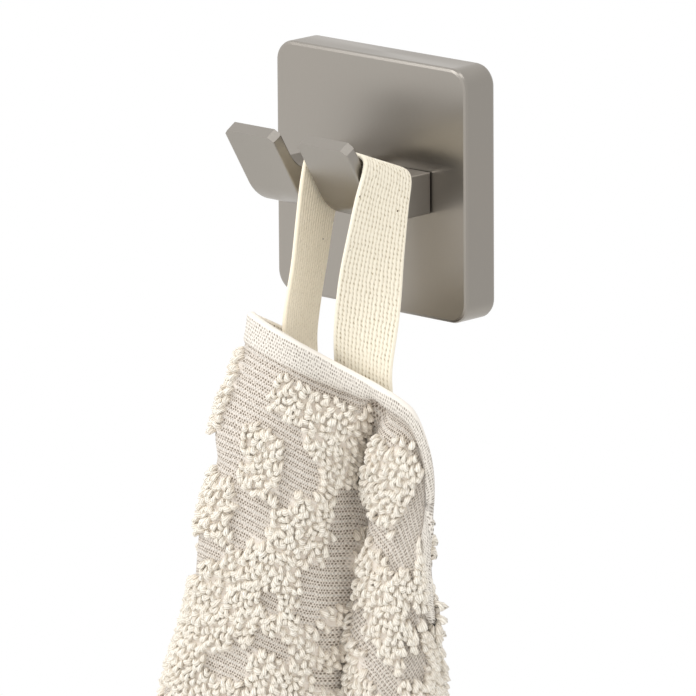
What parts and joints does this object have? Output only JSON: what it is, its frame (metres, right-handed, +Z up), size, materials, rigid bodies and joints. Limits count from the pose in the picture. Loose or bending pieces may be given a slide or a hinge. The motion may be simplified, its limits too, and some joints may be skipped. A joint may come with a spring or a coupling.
{
  "type": "towel on double wall hook",
  "caption": "Guest towel with blocks of looped pile, hung by its sewn tape loop on a square satin steel wall hook with leaning tongues.",
  "frame": {"origin": "centre of the back plate's rear face, on the wall", "axes": "+Z up, -Y out of the wall towards the user, +X to the right when facing the wall"},
  "size_m": [0.1121, 0.0703, 0.581],
  "materials": {
    "satin_steel": "satin brushed stainless steel, fine vertical grain",
    "cotton_tape": "unbleached cotton twill tape, raw and matt",
    "terry_cloth": "off-white cotton ground weave with blocks of looped pile"
  },
  "bodies": {
    "root": {"back_plate": "satin_steel", "hook_left": "satin_steel", "hook_right": "satin_steel", "towel_loop": "cotton_tape", "towel": "terry_cloth"}
  },
  "joints": []
}
